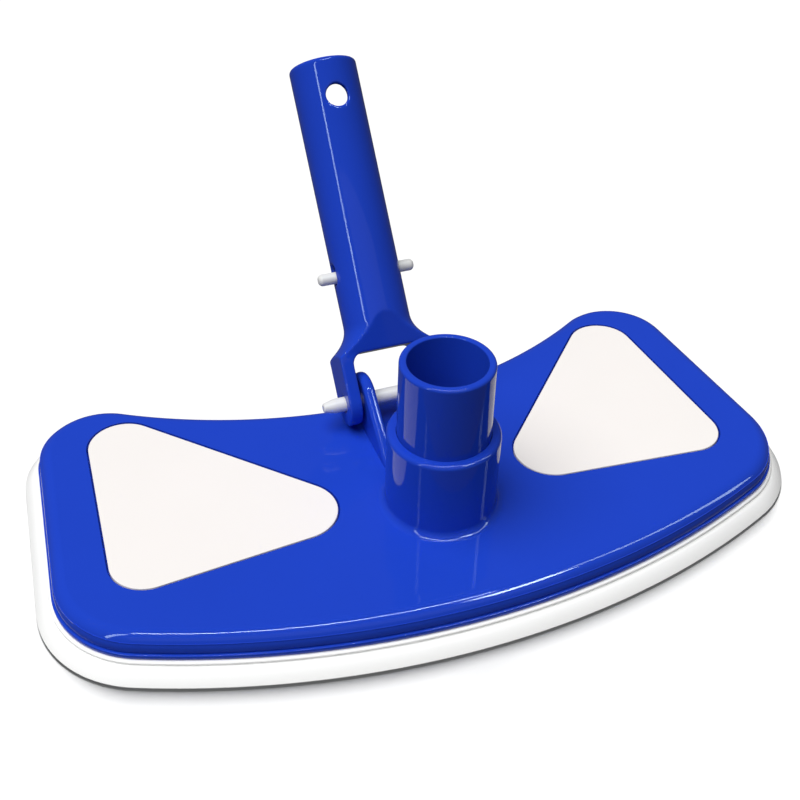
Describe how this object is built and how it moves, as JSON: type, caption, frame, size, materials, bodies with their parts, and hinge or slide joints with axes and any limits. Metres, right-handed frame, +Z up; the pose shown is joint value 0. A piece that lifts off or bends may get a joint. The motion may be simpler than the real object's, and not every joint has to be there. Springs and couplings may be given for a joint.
{
  "type": "manual vacuum head",
  "caption": "Half-moon suction head for a pool or spa floor: weighted plate in a soft bumper, swivel hose port and a tilting pole handle with a spring clip.",
  "frame": {"origin": "on the floor, under the middle of the whole object's box, handle included", "axes": "+X to the object's right across its long side, -Y towards the curved front edge, +Y towards the hollow back edge over which the handle leans, +Z up"},
  "size_m": [0.3286, 0.2236, 0.1533],
  "materials": {
    "gloss_blue": "glossy moulded, clear blue",
    "white_cover": "satin moulded, white",
    "white_vinyl": "satin soft vinyl, white",
    "base_plastic": "satin moulded, off-white",
    "cast_weight": "zinc plated",
    "stainless": "turned stainless steel",
    "white_nylon": "natural nylon, satin",
    "blue_holder": "satin extruded, blue",
    "bristle": "nylon filament, white",
    "black_rubber": "smooth rubber"
  },
  "bodies": {
    "head": {"head_shell": "gloss_blue", "weight_cover_left": "white_cover", "weight_cover_right": "white_cover", "weight_left": "cast_weight", "weight_right": "cast_weight", "bumper_skirt": "white_vinyl", "base_plate": "base_plastic", "brush_holder_front_left": "blue_holder", "brush_holder_front_right": "blue_holder", "brush_holder_rear_left": "blue_holder", "brush_holder_rear_right": "blue_holder", "bristles_front_left": "bristle", "bristles_front_right": "bristle", "bristles_rear_left": "bristle", "bristles_rear_right": "bristle", "base_screw_left_1": "stainless", "base_screw_left_2": "stainless", "base_screw_left_3": "stainless", "base_screw_left_4": "stainless", "base_screw_right_1": "stainless", "base_screw_right_2": "stainless", "base_screw_right_3": "stainless", "base_screw_right_4": "stainless", "swivel_retaining_ring": "base_plastic", "pivot_pin": "white_nylon"},
    "hose_swivel": {"hose_swivel": "gloss_blue", "swivel_seal": "black_rubber"},
    "handle": {"handle": "gloss_blue", "clip_spring": "white_nylon"},
    "clip_button_left": {"clip_button_left": "white_nylon"},
    "clip_button_right": {"clip_button_right": "white_nylon"}
  },
  "joints": [
    {"name": "hose_swivel_turn", "type": "hinge", "parent": "head", "child": "hose_swivel", "pos_m": [0, -0.04605, 0.05], "axis": [0, 0, 1], "continuous": true},
    {"name": "handle_tilt", "type": "hinge", "parent": "head", "child": "handle", "pos_m": [0, 0.01161, 0.0304], "axis": [1, 0, 0], "range_deg": [-50, 55]},
    {"name": "clip_press_left", "type": "slide", "parent": "handle", "child": "clip_button_left", "axis": [1, 0, 0], "range_m": [0, 0.0071], "stiffness_N_per_m": 1500, "springref_m": -0.002, "deforming": ["clip_spring"]},
    {"name": "clip_press_right", "type": "slide", "parent": "handle", "child": "clip_button_right", "axis": [-1, 0, 0], "range_m": [0, 0.0071], "stiffness_N_per_m": 1500, "springref_m": -0.002, "deforming": ["clip_spring"]}
  ]
}
